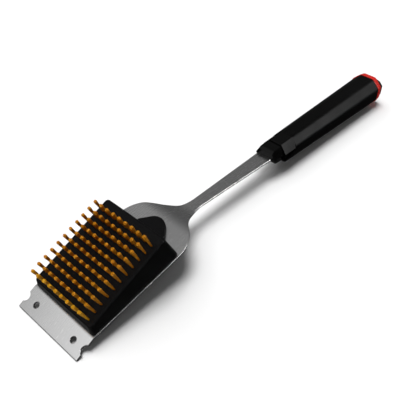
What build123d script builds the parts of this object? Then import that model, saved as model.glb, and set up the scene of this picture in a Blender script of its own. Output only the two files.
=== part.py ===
from build123d import *
from math import cos, radians, sin
import os

# Grill cleaning brush: a bent stainless body (scraper blade, head plate, neck and tang in one sheet),
# a replaceable wedge head with flared brass tufts, and a black two-piece handle with a red accent ring.
# It lies as it rests on a table, tufts up: the blade's edge and the handle's butt touch the ground.
# +X runs from the blade to the handle's butt, +Y to the left, +Z up. Millimetres and degrees.

# ---- driving dimensions: tuft grid -------------------------------------------------------------
TUFT_PITCH = 7.0
TUFT_ROWS = 11
TUFT_COLUMNS = 9
TUFT_LENGTH = 16.6
TUFT_ROOT_R = 0.85
TUFT_TIP_R = 1.75
TUFT_TIP_ROUND = 1.2
TUFT_SEAT = 6.0
TUFT_HOLE_GAP = 0.05

# ---- steel body ---------------------------------------------------------------------------------
SHEET = 2.0
EDGE_ROUND = 0.45
BLADE_SLOPE = 28.8
PLATE_SLOPE = 11.4
STEP_SLOPE = -22.3
NECK_SLOPE = -0.8
BLADE_LENGTH = 19.5
PLATE_LENGTH = 115.4
STEP_LENGTH = 23.1
NECK_LENGTH = 108.5
TANG_LENGTH = 120.0
BEND_RADII = (5.0, 20.0, 18.0)
PLATE_HALF_WIDTH = 36.1
SHOULDER_X = 88.6
SHOULDER_R = 30.9
NECK_START_X = 148.6
NECK_START_HALF = 5.5
NECK_END_HALF = 8.3
TANG_HALF = 7.0
BLADE_HOLE_R = 2.75
BLADE_HOLE_Y = 23.0
BLADE_FEATURE = 9.5
NOTCH_R = 4.3
NOTCH_OUTSET = 1.2

# ---- wedge head ---------------------------------------------------------------------------------
HEAD_GAP = 0.2
WEDGE = 12.33
GRID_CENTRE_U = 40.5
GRID_CENTRE_W = 18.0
TOP_FRONT = -39.2
TOP_REAR = 45.2
TOP_HALF = 33.8
TOP_CORNER = 3.2
BASE_FRONT = 1.0
BASE_REAR = 91.4
BASE_BOW = 3.7
BASE_HALF = 35.3
BASE_CORNER = 3.0
TOP_EDGE_ROUND = 1.6
WALL = 2.5
CROWN = 7.5
CAVITY_FRONT = 8.0
FLOOR_THICK = 2.5
HOOK_U = (14.0, 60.0)
HOOK_V = 22.0
HOOK_NECK = 4.0
HOOK_TOE = 8.0
HOOK_WIDTH = 7.0
HOOK_THICK = 1.5
HOOK_GAP = 0.4
SLIDE_TRAVEL = 5.0
SCREW_POINTS = ((26.0, 27.0), (80.0, 27.0), (26.0, -27.0), (80.0, -27.0))
SCREW_R = 1.5
SCREW_HEAD_R = 2.8
SCREW_LENGTH = 8.5

# ---- release tab (the rounded lobe behind the wedge) --------------------------------------------
TAB_THICK = 3.9
TAB_HALF = 15.2
TAB_TIP_U = 107.8
TAB_TIP_R = 11.0
TAB_WALL_U = 95.0
TAB_WINDOW_TOP = 6.9
TAB_PIVOT_U = 74.0
TAB_PIVOT_W = 3.9
TAB_PIN_R = 1.5
TAB_ARM_HALF = 9.0
TAB_BOSS_R = 3.2
RUNNING_GAP = 0.05
CATCH_FRONT_U = 84.0
CATCH_RAMP = 5.5
CATCH_FLAT = 2.0
CATCH_DEPTH = 1.6
CATCH_HALF = 4.0
SPRING_U = 81.0
SPRING_R = 3.0
SPRING_WIRE_R = 0.4
SPRING_HEIGHT = 8.0

# ---- handle -------------------------------------------------------------------------------------
AXIS_BELOW_NECK = 4.4
FRONT_WIDTH = 27.0
FRONT_HEIGHT = 24.4
FRONT_BEVEL = 7.2
FRONT_ROUND = 5.0
REAR_WIDTH = 34.4
REAR_HEIGHT = 32.0
REAR_BEVEL = 9.4
REAR_ROUND = 5.5
COLLAR_FLAT = 7.0
COLLAR_BEVEL = 2.4
COLLAR_SIDE_W = -4.2
NOSE_LENGTH = 15.5
NOSE_TOP = 11.2
NOSE_TOP_HALF = 7.8
NOSE_BEVEL = 0.8
NOSE_SIDE_HALF = (11.2, 11.4, 12.2)
NOSE_SIDE_W = -3.0
NOSE_BROW = 3.5
NOSE_BROW_DROP = 2.2
CHIN = ((0, 4.0), (4.7, -3.0), (16.5, -4.0))
SEAM_TOP_U = 32.0
SEAM_KNEES = ((33.5, 8.0), (30.2, 2.6), (16.5, -4.6), (24.5, -13.0))
GRIP_END = 184.0
CORE_WIDTH = 20.0
CORE_HEIGHT = 18.0
CORE_START = 22.0
CORE_END = 168.0
RING_LENGTH = 7.5
RING_PROUD = 0.5
RING_TAPER = 0.9
CAP_LENGTH = 5.5
CAP_INSET = 1.4
CAP_REAR_HEIGHT = 18.6
TANG_SCREWS = (45.0, 105.0)
TANG_SCREW_R = 2.0
SEAM_GAP = 0.05


def direction(slope):
    """Unit step along a line in the XZ plane that climbs by slope degrees."""
    return Vector(cos(radians(slope)), 0, sin(radians(slope)))


def frame_at(point, slope):
    """Local frame at a point: x along the slope, y across, z square to it and up."""
    return Plane(origin=point, x_dir=direction(slope), z_dir=direction(slope + 90)).location


# Corners of the sheet's upper face, from the bend between blade and head plate.
BEND = Vector(0, 0, 0)
BLADE_TIP = BEND - direction(BLADE_SLOPE) * BLADE_LENGTH
CREASE = BEND + direction(PLATE_SLOPE) * PLATE_LENGTH
STEP_FOOT = CREASE + direction(STEP_SLOPE) * STEP_LENGTH
NECK_END = STEP_FOOT + direction(NECK_SLOPE) * NECK_LENGTH
TANG_END = NECK_END + direction(NECK_SLOPE) * TANG_LENGTH

BLADE = frame_at(BLADE_TIP, BLADE_SLOPE)
HEAD = frame_at(BEND, PLATE_SLOPE)
CROWN_FACE = HEAD * frame_at(Vector(GRID_CENTRE_U, 0, GRID_CENTRE_W), WEDGE)
HANDLE = frame_at(NECK_END - direction(NECK_SLOPE + 90) * AXIS_BELOW_NECK, NECK_SLOPE)
TANG_TOP = AXIS_BELOW_NECK
TANG_BOTTOM = AXIS_BELOW_NECK - SHEET


def block(u0, u1, v0, v1, w0, w1):
    """Box between two opposite corners of a local frame."""
    return Pos((u0 + u1) / 2, (v0 + v1) / 2, (w0 + w1) / 2) * Box(u1 - u0, v1 - v0, w1 - w0)


# ---- steel body ---------------------------------------------------------------------------------
def plan_outline():
    """Half outline seen from above, mirrored: square blade, round shoulders, slim neck, tang."""
    tip = Vector(BLADE_TIP.X - 5, PLATE_HALF_WIDTH, 0)
    shoulder = Vector(SHOULDER_X, PLATE_HALF_WIDTH, 0)
    rise = PLATE_HALF_WIDTH - NECK_START_HALF
    run = NECK_START_X - SHOULDER_X
    share = 2 * SHOULDER_R * rise / (run**2 + rise**2)
    turn_x = SHOULDER_X + run * share
    turn_y = PLATE_HALF_WIDTH - rise * share
    edge = Line(tip, shoulder)
    convex = TangentArc((shoulder.X, shoulder.Y), (turn_x, turn_y), tangent=(1, 0))
    concave = TangentArc((turn_x, turn_y), (NECK_START_X, NECK_START_HALF), tangent=convex % 1)
    neck = Line((NECK_START_X, NECK_START_HALF), (NECK_END.X, NECK_END_HALF))
    step_in = Line((NECK_END.X, NECK_END_HALF), (NECK_END.X + 12, TANG_HALF))
    tang = Line((NECK_END.X + 12, TANG_HALF), (TANG_END.X + 5, TANG_HALF))
    end = Line((TANG_END.X + 5, TANG_HALF), (TANG_END.X + 5, 0))
    axis = Line((TANG_END.X + 5, 0), (tip.X, 0))
    front = Line((tip.X, 0), (tip.X, tip.Y))
    half = make_face([edge, convex, concave, neck, step_in, tang, end, axis, front])
    return half + mirror(half, Plane.XZ)


def hook_slots():
    """Slots in the head plate: each takes a whole hook foot when the head is slid forward."""
    slots = []
    for u in HOOK_U:
        for side in (1, -1):
            v = side * HOOK_V
            reach = HOOK_WIDTH / 2 + HOOK_GAP
            front = u - SLIDE_TRAVEL - HOOK_GAP
            rear = u + HOOK_NECK + HOOK_GAP
            slots.append(block(front, rear, v - reach, v + reach, -SHEET - 3, 3))
    return slots


def catch_hole():
    """Hole in the head plate for the release tab's ramped catch."""
    rear = CATCH_FRONT_U + CATCH_RAMP + CATCH_FLAT + HOOK_GAP
    reach = CATCH_HALF + HOOK_GAP
    return block(CATCH_FRONT_U, rear, -reach, reach, -SHEET - 3, 3)


def steel_body():
    """Blade, head plate, neck and tang: one bent 2 mm stainless sheet with rounded edges."""
    corners = [BLADE_TIP, BEND, CREASE, STEP_FOOT, TANG_END]
    upper = FilletPolyline(*corners, radius=list(BEND_RADII))
    slopes = (BLADE_SLOPE, PLATE_SLOPE, STEP_SLOPE, NECK_SLOPE)
    lower_corners = [BLADE_TIP - direction(BLADE_SLOPE + 90) * SHEET]
    for corner, before, after in zip(corners[1:-1], slopes, slopes[1:]):
        middle = (before + after) / 2
        lower_corners.append(corner - direction(middle + 90) * (SHEET / cos(radians(after - before) / 2)))
    lower_corners.append(TANG_END - direction(NECK_SLOPE + 90) * SHEET)
    lower_radii = [BEND_RADII[0] - SHEET, BEND_RADII[1] - SHEET, BEND_RADII[2] + SHEET]
    lower = FilletPolyline(*lower_corners, radius=lower_radii)
    front = Line(lower @ 0, upper @ 0)
    back = Line(upper @ 1, lower @ 1)
    side_view = make_face([*upper.edges(), back, *lower.edges(), front])
    sheet = extrude(side_view, PLATE_HALF_WIDTH + 5, both=True)
    column = extrude(Pos(0, 0, -120) * plan_outline(), 240)
    body = sheet & column
    notch = Cylinder(NOTCH_R, 12)
    hole = Cylinder(BLADE_HOLE_R, 12)
    for side in (1, -1):
        body -= BLADE * Pos(BLADE_FEATURE, side * (PLATE_HALF_WIDTH + NOTCH_OUTSET), 0) * notch
    outer = [e for f in body.faces() if abs(f.normal_at().Z) > 0.7 for e in f.outer_wire().edges()]
    rim = [e for e in outer if sum(e.center() == o.center() for o in outer) == 1]
    body = fillet(rim, EDGE_ROUND)
    for side in (1, -1):
        body -= BLADE * Pos(BLADE_FEATURE, side * BLADE_HOLE_Y, 0) * hole
    for slot in hook_slots():
        body -= HEAD * slot
    body -= HEAD * catch_hole()
    for u in TANG_SCREWS:
        body -= HANDLE * Pos(u, 0, 0) * Cylinder(TANG_SCREW_R + 0.2, 30)
    return body


# ---- wedge head ---------------------------------------------------------------------------------
def rounded_outline(front, rear, half, corner, bow):
    """Rectangle in plan with rounded corners and a rear edge that bows outward."""
    points = [(front, -half), (rear, -half), (rear, half), (front, half)]
    rear_edge = ThreePointArc(points[1], (rear + bow, 0), points[2]) if bow else Line(points[1], points[2])
    edges = [Line(points[0], points[1]), rear_edge, Line(points[2], points[3]), Line(points[3], points[0])]
    face = make_face(edges)
    return fillet(face.vertices(), corner)


def wedge(inset, base_w):
    """Wedge between the base outline and the sloping crown face, pulled in by inset all round."""
    base = rounded_outline(
        BASE_FRONT + inset, BASE_REAR - inset, BASE_HALF - inset, BASE_CORNER, BASE_BOW
    )
    top = rounded_outline(
        TOP_FRONT + inset, TOP_REAR - inset, TOP_HALF - inset, TOP_CORNER, 0.05
    )
    return loft([HEAD * Pos(0, 0, base_w) * base, CROWN_FACE * top], ruled=True)


def tuft_points():
    """Grid of tuft centres on the crown face, row by row from the blade."""
    for row in range(TUFT_ROWS):
        x = (row - (TUFT_ROWS - 1) / 2) * TUFT_PITCH
        yield [(x, (c - (TUFT_COLUMNS - 1) / 2) * TUFT_PITCH) for c in range(TUFT_COLUMNS)]


def block_shell():
    """Moulded wedge: thick crown drilled for the tufts, thin walls, open underneath."""
    shell = wedge(0, HEAD_GAP)
    top_face = max(shell.faces(), key=lambda f: f.center().Z)
    shell = fillet(top_face.edges(), TOP_EDGE_ROUND)
    below_crown = CROWN_FACE * Pos(0, 0, -CROWN - 30) * Box(300, 200, 60)
    behind_front = HEAD * block(CAVITY_FRONT, 200, -100, 100, -20, 100)
    shell -= wedge(WALL, HEAD_GAP) & below_crown & behind_front
    shell -= HEAD * block(CAVITY_FRONT, 60, -BASE_HALF + WALL, BASE_HALF - WALL, -1, HEAD_GAP + 0.5)
    posts = Sketch() + [Pos(u, v) * Circle(SCREW_R + 2.2) for u, v in SCREW_POINTS]
    bosses = HEAD * Pos(0, 0, FLOOR_THICK + HEAD_GAP) * extrude(posts, 40)
    shell += bosses & wedge(WALL / 2, HEAD_GAP)
    for u, v in SCREW_POINTS:
        shell -= HEAD * Pos(u, v, SCREW_LENGTH / 2) * Cylinder(SCREW_R + 0.02, SCREW_LENGTH + 1)
    window = block(TAB_WALL_U - 12, TAB_TIP_U, -TAB_HALF - 0.5, TAB_HALF + 0.5, -1, TAB_WINDOW_TOP)
    shell -= HEAD * window
    spring_seat = HEAD * Pos(SPRING_U, 0, TAB_THICK + SPRING_HEIGHT + 0.6) * Cylinder(
        SPRING_R + 1.5, 30, align=(Align.CENTER, Align.CENTER, Align.MIN)
    )
    shell += spring_seat & wedge(WALL / 2, HEAD_GAP)
    depth = TUFT_SEAT + 1
    for row in tuft_points():
        for x, y in row:
            shell -= CROWN_FACE * Pos(x, y, -depth / 2 + 1) * Cylinder(TUFT_ROOT_R + TUFT_HOLE_GAP, depth + 2)
    return shell


def block_base():
    """Floor plate screwed under the wedge: four hook feet, and ears for the release tab's pin."""
    outline = rounded_outline(
        CAVITY_FRONT + 0.2, BASE_REAR - WALL - 1.0, BASE_HALF - WALL - 0.4, BASE_CORNER, BASE_BOW - 0.8
    )
    plate = extrude(Pos(0, 0, HEAD_GAP) * outline, FLOOR_THICK)
    plate -= block(TAB_PIVOT_U - 5, 200, -TAB_ARM_HALF - 0.4, TAB_ARM_HALF + 0.4, -5, 20)
    plate -= block(TAB_WALL_U - 12, 200, -TAB_HALF - 0.5, TAB_HALF + 0.5, -5, 20)
    for side in (1, -1):
        near = side * (TAB_ARM_HALF + 0.4)
        far = side * (TAB_ARM_HALF + 3.4)
        ear_top = TAB_PIVOT_W + TAB_BOSS_R
        ear = block(TAB_PIVOT_U - 4, TAB_PIVOT_U + 4, min(near, far), max(near, far), HEAD_GAP, ear_top)
        plate += ear
    bore = Pos(TAB_PIVOT_U, 0, TAB_PIVOT_W) * Rot(90, 0, 0) * Cylinder(TAB_PIN_R + 0.01, 60)
    plate -= bore
    for u in HOOK_U:
        for side in (1, -1):
            left = side * HOOK_V - HOOK_WIDTH / 2
            right = side * HOOK_V + HOOK_WIDTH / 2
            under = -SHEET - 0.3
            plate += block(u, u + HOOK_NECK, left, right, under - HOOK_THICK, HEAD_GAP + 0.5)
            plate += block(u, u + HOOK_TOE, left, right, under - HOOK_THICK, under)
    for u, v in SCREW_POINTS:
        hole = Pos(u, v, 2) * Cylinder(SCREW_R + 0.02, 8)
        sink = Pos(u, v, HEAD_GAP + 0.7) * Cone(SCREW_HEAD_R + 0.02, SCREW_R + 0.02, 1.4)
        plate -= hole + sink
    return HEAD * plate


def base_screws():
    """Four countersunk self-tapping screws that hold the floor plate under the wedge."""
    shank = Pos(0, 0, SCREW_LENGTH / 2) * Cylinder(SCREW_R, SCREW_LENGTH)
    head = Pos(0, 0, HEAD_GAP + 0.7) * Cone(SCREW_HEAD_R, SCREW_R, 1.4)
    trim = Pos(0, 0, HEAD_GAP - 5) * Box(20, 20, 10)
    cross = Box(3.2, 0.7, 2 * HEAD_GAP + 1.6) + Box(0.7, 3.2, 2 * HEAD_GAP + 1.6)
    screw = shank + head - trim - cross
    return Compound([HEAD * Pos(u, v, 0) * screw for u, v in SCREW_POINTS])


# ---- release tab --------------------------------------------------------------------------------
def release_tab():
    """Thumb tab: rounded lobe behind the wedge, arm to the pivot inside it, ramped catch below."""
    side_line = TAB_TIP_U - TAB_TIP_R
    lobe_plan = make_hull(
        [
            *(Pos(side_line, 0) * Circle(TAB_TIP_R)).edges(),
            *(Pos(TAB_WALL_U - 4, 0) * Rectangle(10, 2 * TAB_HALF)).edges(),
        ]
    )
    lobe = extrude(Pos(0, 0, 0.3) * lobe_plan, TAB_THICK, taper=4)
    arm = block(TAB_PIVOT_U, TAB_WALL_U, -TAB_ARM_HALF, TAB_ARM_HALF, 1.2, 0.3 + TAB_THICK)
    boss = Pos(TAB_PIVOT_U, 0, TAB_PIVOT_W) * Rot(90, 0, 0) * Cylinder(TAB_BOSS_R, 2 * TAB_ARM_HALF)
    ramp_end = CATCH_FRONT_U + CATCH_RAMP
    rear = ramp_end + CATCH_FLAT
    catch_side = Polyline(
        (CATCH_FRONT_U, 0, 0.3),
        (ramp_end, 0, -CATCH_DEPTH),
        (rear, 0, -CATCH_DEPTH),
        (rear, 0, 2.0),
        (CATCH_FRONT_U, 0, 2.0),
        close=True,
    )
    catch = extrude(make_face(catch_side), CATCH_HALF, both=True)
    tab = lobe + arm + boss + catch
    tab -= Pos(TAB_PIVOT_U, 0, TAB_PIVOT_W) * Rot(90, 0, 0) * Cylinder(TAB_PIN_R + RUNNING_GAP, 60)
    top = 0.3 + TAB_THICK
    rim = [e for e in tab.edges() if abs(e.center().Z - top) < 0.01 and e.center().X > TAB_WALL_U - 3]
    tab = fillet(rim, 1.0)
    return HEAD * tab


def tab_pin():
    """Steel pivot pin of the release tab, held in the floor plate's ears."""
    pin = Rot(90, 0, 0) * Cylinder(TAB_PIN_R, 2 * TAB_ARM_HALF + 6.4)
    return HEAD * Pos(TAB_PIVOT_U, 0, TAB_PIVOT_W) * pin


def tab_spring():
    """Compression spring that presses the release tab down onto the head plate."""
    bottom = 0.3 + TAB_THICK + SPRING_WIRE_R + 0.02
    height = SPRING_HEIGHT - 2 * SPRING_WIRE_R - 0.3
    path = Helix(pitch=height / 5, height=height, radius=SPRING_R - SPRING_WIRE_R)
    wire = sweep((Plane(origin=path @ 0, z_dir=path % 0) * Circle(SPRING_WIRE_R)), path, is_frenet=True)
    return HEAD * Pos(SPRING_U, 0, bottom) * wire


# ---- tufts --------------------------------------------------------------------------------------
def tuft():
    """One flared tuft: straight root in its hole, cone opening towards a rounded tip."""
    root = Pos(0, 0, 1 - TUFT_SEAT) * Cylinder(
        TUFT_ROOT_R, TUFT_SEAT - 1, align=(Align.CENTER, Align.CENTER, Align.MIN)
    )
    flare = Cone(
        TUFT_ROOT_R, TUFT_TIP_R, TUFT_LENGTH, align=(Align.CENTER, Align.CENTER, Align.MIN)
    )
    flare = fillet(flare.edges().sort_by(Axis.Z)[-1], TUFT_TIP_ROUND)
    return root + flare


def tuft_row(points):
    """One row of tufts across the head, as separate solids."""
    one = tuft()
    return Compound([CROWN_FACE * Pos(x, y, 0) * one for x, y in points])


def anchor_staples():
    """Flat wire anchors at the bottoms of the tuft holes, one under each tuft."""
    staple = Pos(0, 0, -TUFT_SEAT + 0.55) * Box(1.5, 0.4, 0.8)
    return Compound([CROWN_FACE * Pos(x, y, 0) * staple for row in tuft_points() for x, y in row])


# ---- handle -------------------------------------------------------------------------------------
def octagon(width, height, bevel, rounding):
    """Upright octagon with rounded corners, drawn about the handle's axis."""
    a = width / 2
    b = height / 2
    corners = [(a, b - bevel), (a - bevel, b), (bevel - a, b), (-a, b - bevel)]
    corners += [(-a, bevel - b), (bevel - a, -b), (a - bevel, -b), (a, bevel - b)]
    face = make_face(Polyline(*corners, close=True))
    return fillet(face.vertices(), rounding)


def station(u):
    """Plane across the handle at distance u behind the collar's mouth: x across, y up."""
    return Plane(origin=(u, 0, 0), x_dir=(0, -1, 0), z_dir=(1, 0, 0))


def handle_section(u):
    """Outer section of the handle at u, growing evenly towards the butt."""
    share = u / GRIP_END
    width = FRONT_WIDTH + (REAR_WIDTH - FRONT_WIDTH) * share
    height = FRONT_HEIGHT + (REAR_HEIGHT - FRONT_HEIGHT) * share
    bevel = FRONT_BEVEL + (REAR_BEVEL - FRONT_BEVEL) * share
    rounding = FRONT_ROUND + (REAR_ROUND - FRONT_ROUND) * share
    return station(u) * octagon(width, height, bevel, rounding)


def core_prism(u0, u1, gap):
    """Rounded bar of the core's section between two stations."""
    face = station(u0) * RectangleRounded(CORE_WIDTH + 2 * gap, CORE_HEIGHT + 2 * gap, 4 + gap)
    return extrude(face, u1 - u0)


def side_prism(points, half):
    """Prism across the handle from an outline in its side view."""
    return extrude(make_face(Polyline(*[(u, 0, w) for u, w in points], close=True)), half, both=True)


def grip_region(gap):
    """Everything behind the seam: upright on top, then slanting forward to the collar's foot."""
    far = 60.0
    knees = [(u + gap, w) for u, w in SEAM_KNEES]
    outline = [(SEAM_TOP_U + gap, far), *knees, (knees[-1][0], -far), (400, -far), (400, far)]
    return side_prism(outline, far)


def grip():
    """Satin sleeve from the seam to the accent ring, bored for the core."""
    sleeve = loft([handle_section(u) for u in (0, GRIP_END)], ruled=True)
    sleeve = sleeve & grip_region(SEAM_GAP)
    sleeve -= core_prism(CORE_START - 1.0, GRIP_END + 5, SEAM_GAP)
    return HANDLE * sleeve


def ferrule_section(u, top_half, height, bevel, side, side_w):
    """Outline across the collar: narrow bevelled top, sides flaring to the widest line, flat bottom."""
    right = [
        (top_half, height),
        (top_half + bevel, height - bevel),
        (side, side_w),
        (top_half, -height),
    ]
    left = [(-x, y) for x, y in reversed(right)]
    return station(u) * make_face(Polyline(*right, *left, close=True))


def collar():
    """Gloss ferrule: bevelled body and a lower nose, cut away underneath; the neck enters its slot."""
    stations = []
    for u in (NOSE_LENGTH, 60.0):
        share = u / GRIP_END
        side = (FRONT_WIDTH + (REAR_WIDTH - FRONT_WIDTH) * share) / 2
        height = (FRONT_HEIGHT + (REAR_HEIGHT - FRONT_HEIGHT) * share) / 2
        flat = COLLAR_FLAT + 2 * share
        stations.append(ferrule_section(u, flat, height, COLLAR_BEVEL, side, COLLAR_SIDE_W))
    body = loft(stations, ruled=True)
    body = fillet(body.faces().sort_by(Axis.X)[0].edges(), 0.5)
    brow = (0, NOSE_TOP_HALF + 0.4, NOSE_TOP - NOSE_BROW_DROP, NOSE_BEVEL)
    crest = (NOSE_BROW, NOSE_TOP_HALF, NOSE_TOP, NOSE_BEVEL)
    root = (NOSE_LENGTH + 3, NOSE_TOP_HALF, NOSE_TOP, NOSE_BEVEL)
    for before, after, i in ((brow, crest, 0), (crest, root, 1)):
        front = ferrule_section(*before, NOSE_SIDE_HALF[i], NOSE_SIDE_W)
        rear = ferrule_section(*after, NOSE_SIDE_HALF[i + 1], NOSE_SIDE_W)
        body += loft([front, rear], ruled=True)
    chin = [(-5, CHIN[0][1]), *CHIN, *SEAM_KNEES[-2:], (SEAM_KNEES[-1][0], -40), (-5, -40)]
    ferrule = body - side_prism(chin, 40)
    ferrule -= grip_region(0)
    ferrule -= core_prism(CORE_START - 0.1, 80, SEAM_GAP)
    slot_half = NECK_END_HALF + 0.3
    ferrule -= block(-5, 60, -slot_half, slot_half, TANG_BOTTOM - 0.1, TANG_TOP + 0.1)
    return HANDLE * ferrule


def core_half(upper):
    """Half of the moulded core that clamps the tang, split at the tang's lower face."""
    bar = core_prism(CORE_START, CORE_END, 0)
    keep = block(0, 300, -50, 50, TANG_BOTTOM, 50) if upper else block(0, 300, -50, 50, -50, TANG_BOTTOM)
    half = bar & keep
    pocket_half = NECK_END_HALF + 0.2
    pocket = block(-5, TANG_LENGTH + 0.3, -pocket_half, pocket_half, TANG_BOTTOM - 1, TANG_TOP + 0.02)
    if upper:
        half -= pocket
    for u in TANG_SCREWS:
        half -= Pos(u, 0, 0) * Cylinder(TANG_SCREW_R + 0.02, 40)
        half -= Pos(u, 0, -CORE_HEIGHT / 2 + 1.4) * Cylinder(TANG_SCREW_R + 2.02, 2.9)
    return HANDLE * half


def tang_screws():
    """Two pan-head screws through the core halves and the tang."""
    low = -CORE_HEIGHT / 2
    shank = Pos(0, 0, -0.5) * Cylinder(TANG_SCREW_R, CORE_HEIGHT - 3)
    head = Pos(0, 0, low + 1.4) * Cylinder(TANG_SCREW_R + 2, 2.4)
    drive = Pos(0, 0, low + 0.6) * (Box(4.4, 0.9, 1.6) + Box(0.9, 4.4, 1.6))
    screw = shank + head - drive
    return Compound([HANDLE * Pos(u, 0, 0) * screw for u in TANG_SCREWS])


def accent_ring():
    """Red ring between grip and end cap, a little proud of the grip and tapering towards the butt."""
    start = GRIP_END + 2 * SEAM_GAP
    outline = []
    for u, out in ((start, RING_PROUD), (start + RING_LENGTH, RING_PROUD - RING_TAPER)):
        section = octagon(REAR_WIDTH + 2 * out, REAR_HEIGHT + 2 * out, REAR_BEVEL, REAR_ROUND)
        outline.append(station(u) * section)
    ring = loft(outline, ruled=True)
    ring = fillet(ring.faces().sort_by(Axis.X)[0].edges(), RING_PROUD)
    ring = fillet(ring.faces().sort_by(Axis.X)[-1].edges(), 1.2)
    ring -= core_prism(GRIP_END - 5, GRIP_END + 20, SEAM_GAP)
    return HANDLE * ring


def end_cap():
    """Butt cap, bevelled above and below, with a spigot plugged into the grip's bore."""
    start = GRIP_END + RING_LENGTH + 3 * SEAM_GAP
    width = REAR_WIDTH - 2 * CAP_INSET
    front = octagon(width, REAR_HEIGHT - 2 * CAP_INSET, REAR_BEVEL - 1, 6.0)
    rear = octagon(width - 1.6, CAP_REAR_HEIGHT, 4.0, 1.5)
    cap = loft([station(start) * front, station(start + CAP_LENGTH) * rear], ruled=True)
    cap = fillet(cap.faces().sort_by(Axis.X)[-1].edges(), 0.6)
    spigot = core_prism(CORE_END + 2, start + 1, 0)
    return HANDLE * (cap + spigot)


def nodes():
    """Every separate piece, by name, in the frame of the front bend."""
    pieces = {
        "steel_body": steel_body(),
        "block_shell": block_shell(),
        "block_base": block_base(),
        "base_screws": base_screws(),
        "release_tab": release_tab(),
        "tab_pin": tab_pin(),
        "tab_spring": tab_spring(),
        "anchor_staples": anchor_staples(),
        "collar": collar(),
        "core_upper": core_half(True),
        "core_lower": core_half(False),
        "tang_screws": tang_screws(),
        "grip": grip(),
        "accent_ring": accent_ring(),
        "end_cap": end_cap(),
    }
    for number, points in enumerate(tuft_points(), start=1):
        pieces[f"tuft_row_{number:02d}"] = tuft_row(points)
    return pieces


def main():
    """Place the origin under the middle of the brush, at ground level, and write every piece."""
    pieces = nodes()
    box = Compound([s for piece in pieces.values() for s in piece.solids()]).bounding_box()
    shift = Pos(-(box.min.X + box.max.X) / 2, -(box.min.Y + box.max.Y) / 2, -box.min.Z)
    os.makedirs("parts", exist_ok=True)
    for name, piece in pieces.items():
        export_step(shift * piece, f"parts/{name}.step")
    print("overall size", box.size)
    print("tab pivot", (shift * HEAD * Pos(TAB_PIVOT_U, 0, TAB_PIVOT_W)).position)
    print("blade hole centre", (shift * BLADE * Pos(BLADE_FEATURE, BLADE_HOLE_Y, -SHEET / 2)).position)
    print("grid centre", (shift * CROWN_FACE).position)


main()
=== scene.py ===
import math
import random

import bpy
from mathutils import Matrix, Vector


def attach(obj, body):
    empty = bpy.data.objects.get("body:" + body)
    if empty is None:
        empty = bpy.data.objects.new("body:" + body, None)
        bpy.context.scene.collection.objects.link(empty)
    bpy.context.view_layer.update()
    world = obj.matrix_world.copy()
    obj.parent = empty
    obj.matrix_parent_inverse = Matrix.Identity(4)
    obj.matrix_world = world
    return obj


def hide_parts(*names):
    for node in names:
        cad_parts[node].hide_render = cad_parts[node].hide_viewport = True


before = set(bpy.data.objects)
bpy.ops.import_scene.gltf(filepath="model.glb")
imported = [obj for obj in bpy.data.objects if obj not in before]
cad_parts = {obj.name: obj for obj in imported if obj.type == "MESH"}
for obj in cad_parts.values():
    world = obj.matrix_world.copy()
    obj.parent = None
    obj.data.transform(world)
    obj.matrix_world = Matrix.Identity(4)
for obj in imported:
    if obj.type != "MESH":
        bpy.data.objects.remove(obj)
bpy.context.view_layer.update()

# The tuft field, as in the CAD: metres, in the row frame.
CROWN_CENTRE = Vector((-0.175484, 0.0, 0.0366357))
CROWN_SLOPE = math.radians(23.73)
TUFT_PITCH = 0.007
ROWS = 11
TUFTS_IN_ROW = 9
TUFT_LENGTH = 0.0166

# One tuft is a bundle of crimped brass wires, tight in its hole and flared at the tip. The wires start
# 4.8 mm down their holes, a little above the ends of the CAD's tufts, which reach 5 mm down.
WIRES = 34
WIRE_DEPTH = 0.0048
WIRE_RADIUS = 0.00015
WIRE_SIDES = 5
WIRE_STEPS = 11
ROOT_SPREAD = 0.00070
TIP_SPREAD = 0.00150
TIP_DOME = 0.0009
CRIMP = 0.00008
CRIMP_PITCH = 0.0052
TUFT_LEAN = 0.00012
LENGTH_SCATTER = 0.0003
GOLDEN_TURN = math.radians(137.508)

CROWN_ALONG = Vector((math.cos(CROWN_SLOPE), 0.0, math.sin(CROWN_SLOPE)))
CROWN_ACROSS = Vector((0.0, 1.0, 0.0))
CROWN_OUT = Vector((-math.sin(CROWN_SLOPE), 0.0, math.cos(CROWN_SLOPE)))

# The colour sockets of a Mix node, whose names are shared with its other data types.
MIX_FIRST = 6
MIX_SECOND = 7
MIX_RESULT = 2


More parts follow.
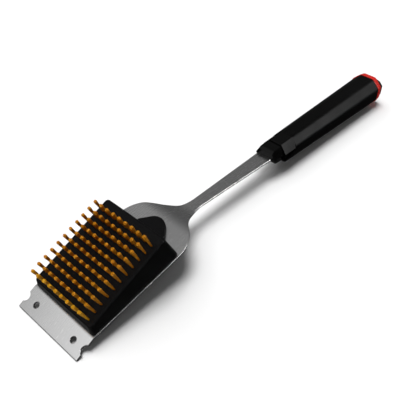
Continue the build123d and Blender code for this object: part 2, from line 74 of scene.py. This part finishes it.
class Shader:
    """A small helper that builds one material's node tree."""

    def __init__(self, name):
        self.material = bpy.data.materials.new(name)
        self.material.use_nodes = True
        self.tree = self.material.node_tree
        self.surface = self.tree.nodes["Principled BSDF"]
        self.place = self.tree.nodes.new("ShaderNodeTexCoord").outputs["Object"]

    def node(self, kind, **settings):
        made = self.tree.nodes.new(kind)
        for key, value in settings.items():
            setattr(made, key, value)
        return made

    def set(self, **values):
        for key, value in values.items():
            self.surface.inputs[key.replace("_", " ")].default_value = value

    def link(self, source, target):
        self.tree.links.new(source, target)

    def stretched(self, scale):
        """Object coordinates multiplied by a scale for each axis."""
        made = self.node("ShaderNodeMapping")
        made.inputs["Scale"].default_value = scale
        self.link(self.place, made.inputs["Vector"])
        return made.outputs["Vector"]

    def noise(self, scale, detail=3.0, roughness=0.5, vector=None):
        made = self.node("ShaderNodeTexNoise")
        made.inputs["Scale"].default_value = scale
        made.inputs["Detail"].default_value = detail
        made.inputs["Roughness"].default_value = roughness
        self.link(vector if vector is not None else self.place, made.inputs["Vector"])
        return made.outputs["Fac"]

    def spread(self, source, low, high, start=0.3, end=0.7):
        """The source remapped from start..end to low..high."""
        made = self.node("ShaderNodeMapRange")
        made.inputs["From Min"].default_value = start
        made.inputs["From Max"].default_value = end
        made.inputs["To Min"].default_value = low
        made.inputs["To Max"].default_value = high
        self.link(source, made.inputs["Value"])
        return made.outputs["Result"]

    def math(self, operation, first, second):
        made = self.node("ShaderNodeMath", operation=operation)
        for socket, value in zip(made.inputs, (first, second)):
            if isinstance(value, (int, float)):
                socket.default_value = value
            else:
                self.link(value, socket)
        return made.outputs["Value"]

    def mix(self, factor, first, second):
        """A colour between two others; each is a socket or an (r, g, b)."""
        made = self.node("ShaderNodeMix", data_type="RGBA")
        self.link(factor, made.inputs["Factor"])
        for socket, value in ((made.inputs[MIX_FIRST], first), (made.inputs[MIX_SECOND], second)):
            if isinstance(value, tuple):
                socket.default_value = (*value, 1.0)
            else:
                self.link(value, socket)
        return made.outputs[MIX_RESULT]

    def bump(self, height, strength, distance, edge=0.0):
        """Bump from a height; edge is the radius, in metres, that softens the arrises."""
        made = self.node("ShaderNodeBump")
        made.inputs["Strength"].default_value = strength
        made.inputs["Distance"].default_value = distance
        self.link(height, made.inputs["Height"])
        if edge:
            soft = self.node("ShaderNodeBevel", samples=6)
            soft.inputs["Radius"].default_value = edge
            self.link(soft.outputs["Normal"], made.inputs["Normal"])
        self.link(made.outputs["Normal"], self.surface.inputs["Normal"])

    def colour(self, source):
        self.link(source, self.surface.inputs["Base Color"])

    def rough(self, source):
        self.link(source, self.surface.inputs["Roughness"])


def brushed_steel(name):
    """Stainless sheet with a fine grain along its length, handling smudges and hairline scratches."""
    made = Shader(name)
    made.set(Metallic=1.0, Anisotropic=0.35)
    grain = made.noise(1.0, 4.0, 0.6, made.stretched((26.0, 3600.0, 26.0)))
    fine = made.noise(1.0, 2.0, 0.5, made.stretched((90.0, 9000.0, 90.0)))
    smudge = made.noise(34.0, 4.0, 0.6)
    hairline = made.noise(1.0, 1.0, 0.4, made.stretched((60.0, 1500.0, 420.0)))
    scratch = made.spread(hairline, 0.0, 1.0, 0.70, 0.76)
    tone = made.spread(made.math("ADD", grain, made.math("MULTIPLY", smudge, 0.6)), 0.0, 1.0, 0.55, 1.05)
    steel = made.mix(tone, (0.59, 0.59, 0.595), (0.63, 0.63, 0.625))
    made.colour(made.mix(scratch, steel, (0.74, 0.74, 0.73)))
    streak = made.spread(grain, 0.235, 0.275)
    made.rough(made.math("ADD", streak, made.spread(smudge, -0.01, 0.03)))
    made.bump(made.math("ADD", grain, made.math("MULTIPLY", fine, 0.5)), 0.03, 0.00002, 0.0006)
    return made.material


def turned_steel(name, tone, rough):
    """Small steel parts: bright with a faint drawn or turned grain."""
    made = Shader(name)
    made.set(Metallic=1.0)
    grain = made.noise(2600.0, 3.0, 0.6)
    patina = made.noise(380.0, 3.0, 0.5)
    light = tuple(value * 1.12 for value in tone)
    made.colour(made.mix(made.spread(patina, 0.0, 1.0), tone, light))
    made.rough(made.spread(grain, rough - 0.05, rough + 0.08))
    made.bump(grain, 0.25, 0.00002)
    return made.material


def moulded_plastic(name, tone, rough, texture, ior):
    """Black moulded plastic with a spark-eroded texture, faint dust and rubbed patches."""
    made = Shader(name)
    made.set(IOR=ior)
    pores = made.noise(texture, 3.0, 0.6)
    rub = made.noise(46.0, 4.0, 0.55)
    dust = made.spread(made.noise(5200.0, 2.0, 0.5), 0.0, 1.0, 0.66, 0.74)
    dark = tuple(value * 0.8 for value in tone)
    light = tuple(value * 1.5 for value in tone)
    body = made.mix(made.spread(rub, 0.0, 1.0), dark, light)
    made.colour(made.mix(dust, body, tuple(value * 3.0 + 0.001 for value in tone)))
    rubbed = made.spread(rub, rough - 0.05, rough + 0.05)
    made.rough(made.math("ADD", rubbed, made.spread(pores, -0.03, 0.04)))
    made.bump(pores, 0.5, 0.00006)
    return made.material


def gloss_plastic(name, tone, rough, ior, coat):
    """Polished moulding: a slight orange-peel ripple, faint hairlines and fingerprints in the gloss."""
    made = Shader(name)
    made.set(IOR=ior, Coat_Weight=coat, Coat_Roughness=0.06)
    ripple = made.noise(240.0, 2.0, 0.5)
    hair = made.noise(1.0, 2.0, 0.5, made.stretched((150.0, 2400.0, 1700.0)))
    prints = made.noise(70.0, 3.0, 0.6)
    light = tuple(value * 1.35 for value in tone)
    made.colour(made.mix(made.spread(prints, 0.0, 1.0), tone, light))
    touched = made.spread(prints, rough - 0.03, rough + 0.06)
    made.rough(made.math("ADD", touched, made.spread(hair, -0.01, 0.03)))
    made.bump(made.math("ADD", ripple, made.math("MULTIPLY", hair, 0.08)), 0.12, 0.0001)
    return made.material


def brass(name, dark, bright, tarnish_and_root_shade):
    """Crimped brass wire with patches of tarnish: brighter and yellower towards the cut tips, and darker and
    browner towards the roots, which is painted shade between the tufts.
    """
    made = Shader(name)
    made.set(Metallic=0.3)
    lift = made.node("ShaderNodeVectorMath", operation="DOT_PRODUCT")
    lift.inputs[1].default_value = CROWN_OUT
    made.link(made.place, lift.inputs[0])
    crown = CROWN_CENTRE.dot(CROWN_OUT)
    root_shade_fade = made.spread(lift.outputs["Value"], 0.0, 1.0, crown, crown + TUFT_LENGTH)
    strand = made.noise(900.0, 2.0, 0.5)
    tarnish = made.noise(210.0, 4.0, 0.6)
    metal = made.mix(made.spread(strand, 0.0, 1.0), dark, bright)
    aged = made.mix(made.spread(tarnish, 0.0, 0.45, 0.45, 0.75), metal, tarnish_and_root_shade)
    # Painted shade: the wire's colour darkens from the tips down to the roots, where the tufts shade each
    # other; the root colour doubles as the tarnish colour.
    made.colour(made.mix(root_shade_fade, tarnish_and_root_shade, aged))
    made.rough(made.spread(tarnish, 0.28, 0.46))
    made.bump(made.noise(5200.0, 2.0, 0.5), 0.3, 0.00002)
    return made.material


def floor_paper(name):
    """Pale studio paper with a barely visible mottle."""
    made = Shader(name)
    made.set(Specular_IOR_Level=0.1)
    mottle = made.noise(3.0, 4.0, 0.5)
    made.colour(made.mix(made.spread(mottle, 0.0, 1.0), (0.84, 0.84, 0.84), (0.87, 0.87, 0.87)))
    made.rough(made.spread(made.noise(900.0, 2.0, 0.5), 0.80, 0.92))
    return made.material


def add_wire(vertices, faces, points, radius):
    """Adds one closed wire that follows the points; its rings stand square to the tuft."""
    first = len(vertices)
    for point in points:
        for side in range(WIRE_SIDES):
            angle = math.tau * side / WIRE_SIDES
            offset = CROWN_ALONG * math.cos(angle) + CROWN_ACROSS * math.sin(angle)
            vertices.append(point + offset * radius)
    for ring in range(len(points) - 1):
        start = first + ring * WIRE_SIDES
        for side in range(WIRE_SIDES):
            after = (side + 1) % WIRE_SIDES
            faces.append((start + side, start + after, start + WIRE_SIDES + after, start + WIRE_SIDES + side))
    last = first + (len(points) - 1) * WIRE_SIDES
    faces.append(tuple(first + side for side in reversed(range(WIRE_SIDES))))
    faces.append(tuple(last + side for side in range(WIRE_SIDES)))


def add_tuft(vertices, faces, root, rng):
    """Adds the wires of one tuft, spread evenly over its section and flared towards the tip."""
    turn = rng.uniform(0.0, math.tau)
    lean_along = rng.uniform(-TUFT_LEAN, TUFT_LEAN)
    lean_across = rng.uniform(-TUFT_LEAN, TUFT_LEAN)
    for index in range(WIRES):
        share = math.sqrt((index + 0.5) / WIRES)
        angle = turn + index * GOLDEN_TURN
        tip_spread = TIP_SPREAD * share * rng.uniform(0.93, 1.02)
        length = TUFT_LENGTH - TIP_DOME * share**3 - rng.uniform(0.0, LENGTH_SCATTER)
        phase = rng.uniform(0.0, math.tau)
        heading = rng.uniform(0.0, math.tau)
        points = []
        for step in range(WIRE_STEPS + 1):
            height = -WIRE_DEPTH + (length + WIRE_DEPTH) * step / WIRE_STEPS
            free = max(0.0, height) / TUFT_LENGTH
            out = ROOT_SPREAD * share + (tip_spread - ROOT_SPREAD * share) * free
            wave = CRIMP * min(1.0, free * 4) * math.sin(math.tau * height / CRIMP_PITCH + phase)
            along = out * math.cos(angle) + wave * math.cos(heading) + lean_along * free
            across = out * math.sin(angle) + wave * math.sin(heading) + lean_across * free
            points.append(root + CROWN_ALONG * along + CROWN_ACROSS * across + CROWN_OUT * height)
        add_wire(vertices, faces, points, WIRE_RADIUS)


def add_row(number, finish):
    """One row of nine wire tufts, in place of the CAD's plain flared solids."""
    rng = random.Random(number)
    vertices = []
    faces = []
    along = (number - (ROWS + 1) / 2) * TUFT_PITCH
    for tuft in range(TUFTS_IN_ROW):
        across = (tuft - (TUFTS_IN_ROW - 1) / 2) * TUFT_PITCH
        root = CROWN_CENTRE + CROWN_ALONG * along + CROWN_ACROSS * across
        add_tuft(vertices, faces, root, rng)
    mesh = bpy.data.meshes.new(f"wires_row_{number:02d}")
    mesh.from_pydata(vertices, [], faces)
    mesh.shade_smooth()
    mesh.materials.append(finish)
    row = bpy.data.objects.new(mesh.name, mesh)
    bpy.context.scene.collection.objects.link(row)
    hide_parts(f"tuft_row_{number:02d}")
    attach(row, "brush_head")


steel = brushed_steel("brushed_stainless")
screw = turned_steel("screw_steel", (0.55, 0.55, 0.56), 0.26)
wire_steel = turned_steel("drawn_steel", (0.50, 0.50, 0.51), 0.32)
wedge = moulded_plastic("wedge_black", (0.0018, 0.0018, 0.0019), 0.46, 3200.0, 1.2)
tab = moulded_plastic("tab_black", (0.0018, 0.0018, 0.0019), 0.42, 3600.0, 1.2)
grip = moulded_plastic("grip_black", (0.0010, 0.0010, 0.0010), 0.40, 5200.0, 1.18)
core = moulded_plastic("core_black", (0.006, 0.006, 0.006), 0.5, 3000.0, 1.3)
gloss = gloss_plastic("gloss_black", (0.0006, 0.0006, 0.0006), 0.10, 1.26, 0.0)
red = gloss_plastic("gloss_red", (0.52, 0.012, 0.006), 0.26, 1.35, 0.3)

finishes = {
    "steel_body": steel,
    "block_shell": wedge,
    "block_base": wedge,
    "base_screws": screw,
    "release_tab": tab,
    "tab_pin": screw,
    "tab_spring": wire_steel,
    "anchor_staples": wire_steel,
    "collar": gloss,
    "core_upper": core,
    "core_lower": core,
    "tang_screws": screw,
    "grip": grip,
    "accent_ring": red,
    "end_cap": tab,
}
for name, finish in finishes.items():
    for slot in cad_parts[name].material_slots:
        slot.material = finish

# The third colour of each brass is both its tarnish and the painted shade at the roots. The front row's brass
# is a lighter, yellower copy of the rest: painted light, for the row that stands in full light ahead of the
# others.
rear_rows_brass = brass("brass_wire", (0.60, 0.25, 0.006), (0.80, 0.38, 0.012), (0.50, 0.18, 0.004))
lit_front_brass = brass("brass_wire_front_lit", (0.74, 0.38, 0.008), (0.88, 0.49, 0.014), (0.64, 0.32, 0.008))
for number in range(1, ROWS + 1):
    # The first row takes the lighter brass, as painted light on the lit front row.
    add_row(number, lit_front_brass if number == 1 else rear_rows_brass)

# Floor: gloss doesn't mirror it.
FLOOR_HALF = 4
floor_corners = [(x * FLOOR_HALF, y * FLOOR_HALF, 0) for x, y in ((-1, -1), (1, -1), (1, 1), (-1, 1))]
floor_mesh = bpy.data.meshes.new("floor")
floor_mesh.from_pydata(floor_corners, [], [(0, 1, 2, 3)])
floor_mesh.materials.append(floor_paper("floor_paper"))
floor = bpy.data.objects.new("floor", floor_mesh)
floor.visible_glossy = False
bpy.context.scene.collection.objects.link(floor)

# Studio: an even surround lights the matt surfaces, and gloss sees a dim room with soft panels.
# Each panel has a direction, a level and a tightness: the higher that is, the smaller the panel.
PANELS = (
    ((-0.53, 0.27, 0.80), 1.75, 20.0),
    ((0.02, 0.50, 0.87), 0.20, 6.0),
    ((0.66, -0.54, 0.52), 9.00, 90.0),
    ((0.46, -0.74, 0.49), 15.00, 60.0),
    ((-0.90, -0.20, 0.30), 1.00, 6.0),
)
ROOM_GLOSS = 0.13
GROUND_GLOSS = 0.04
HORIZON_BLUR = 0.15
ROOM_LIGHT = 0.14
BACKDROP = 0.93


def background(tree, grey, strength=1.0):
    """A plain grey background of that strength."""
    made = tree.nodes.new("ShaderNodeBackground")
    made.inputs["Color"].default_value = (grey, grey, grey, 1.0)
    made.inputs["Strength"].default_value = strength
    return made


def by_ray(tree, ray, others, these):
    """Shows the second shader to rays of one kind, and the first to all others."""
    path = tree.nodes.new("ShaderNodeLightPath")
    made = tree.nodes.new("ShaderNodeMixShader")
    tree.links.new(path.outputs[ray], made.inputs["Fac"])
    tree.links.new(others, made.inputs[1])
    tree.links.new(these, made.inputs[2])
    return made.outputs["Shader"]


def above_ground(tree, direction):
    """The room's level above the horizon, and the ground's below it."""
    split = tree.nodes.new("ShaderNodeSeparateXYZ")
    tree.links.new(direction, split.inputs["Vector"])
    horizon = tree.nodes.new("ShaderNodeMapRange")
    horizon.interpolation_type = "SMOOTHSTEP"
    horizon.inputs["From Min"].default_value = -HORIZON_BLUR
    horizon.inputs["From Max"].default_value = HORIZON_BLUR
    horizon.inputs["To Min"].default_value = GROUND_GLOSS
    horizon.inputs["To Max"].default_value = ROOM_GLOSS
    tree.links.new(split.outputs["Z"], horizon.inputs["Value"])
    return horizon.outputs["Result"]


def add_panel(tree, direction, total, centre, level, tightness):
    """Adds to the total a soft panel that fades with the angle from its centre."""
    dot = tree.nodes.new("ShaderNodeVectorMath")
    dot.operation = "DOT_PRODUCT"
    dot.inputs[1].default_value = Vector(centre).normalized()
    tree.links.new(direction, dot.inputs[0])
    fall = tree.nodes.new("ShaderNodeMath")
    fall.operation = "MULTIPLY_ADD"
    fall.inputs[1].default_value = tightness
    fall.inputs[2].default_value = -tightness
    tree.links.new(dot.outputs["Value"], fall.inputs[0])
    soft = tree.nodes.new("ShaderNodeMath")
    soft.operation = "EXPONENT"
    tree.links.new(fall.outputs["Value"], soft.inputs[0])
    part = tree.nodes.new("ShaderNodeMath")
    part.operation = "MULTIPLY_ADD"
    part.inputs[1].default_value = level
    tree.links.new(soft.outputs["Value"], part.inputs[0])
    tree.links.new(total, part.inputs[2])
    return part.outputs["Value"]


def build_world():
    """A plain studio surround, told apart for matt surfaces, for gloss and for the camera."""
    world = bpy.data.worlds.new("studio")
    world.use_nodes = True
    tree = world.node_tree
    tree.nodes.clear()
    direction = tree.nodes.new("ShaderNodeTexCoord").outputs["Generated"]
    total = above_ground(tree, direction)
    for centre, level, tightness in PANELS:
        total = add_panel(tree, direction, total, centre, level, tightness)
    mirrored = background(tree, 1.0)
    tree.links.new(total, mirrored.inputs["Strength"])
    room = background(tree, 1.0, ROOM_LIGHT)
    backdrop = background(tree, BACKDROP)
    lit = by_ray(tree, "Is Glossy Ray", room.outputs["Background"], mirrored.outputs["Background"])
    surround = by_ray(tree, "Is Camera Ray", lit, backdrop.outputs["Background"])
    output = tree.nodes.new("ShaderNodeOutputWorld")
    tree.links.new(surround, output.inputs["Surface"])
    bpy.context.scene.world = world


build_world()

LAMP_DISTANCE = 2


def add_lamp(name, direction, angle, strength):
    """A distant soft lamp, angle degrees wide, shining from that direction. Gloss doesn't mirror it."""
    lamp = bpy.data.lights.new(name, "SUN")
    lamp.angle = math.radians(angle)
    lamp.energy = strength
    holder = bpy.data.objects.new(name, lamp)
    holder.location = Vector(direction).normalized() * LAMP_DISTANCE
    holder.rotation_euler = Vector(direction).to_track_quat("Z", "Y").to_euler()
    holder.visible_glossy = False
    bpy.context.scene.collection.objects.link(holder)


add_lamp("key", (0.03, 0.14, 1.0), 30, 2.25)
add_lamp("fill", (-0.1, 0.60, 1.0), 60, 1.55)

# Camera: above and ahead of the blade, on its right.
LENS_MM = 52.38
SENSOR_MM = 36.0
NEAR_CLIP = 0.01
CAMERA_PLACE = Vector((-0.33947, -0.25954, 0.36826))
CAMERA_RIGHT = Vector((0.68453, -0.72896, 0.00581))
CAMERA_UP = Vector((0.48457, 0.46096, 0.74344))
CAMERA_BACK = Vector((-0.54462, -0.50609, 0.66877))

lens = bpy.data.cameras.new("camera")
lens.lens = LENS_MM
lens.sensor_width = SENSOR_MM
lens.clip_start = NEAR_CLIP
camera = bpy.data.objects.new("camera", lens)
turn = Matrix((CAMERA_RIGHT, CAMERA_UP, CAMERA_BACK)).transposed()
camera.matrix_world = Matrix.Translation(CAMERA_PLACE) @ turn.to_4x4()
bpy.context.scene.collection.objects.link(camera)
bpy.context.scene.camera = camera
bpy.context.scene.view_settings.view_transform = "Standard"
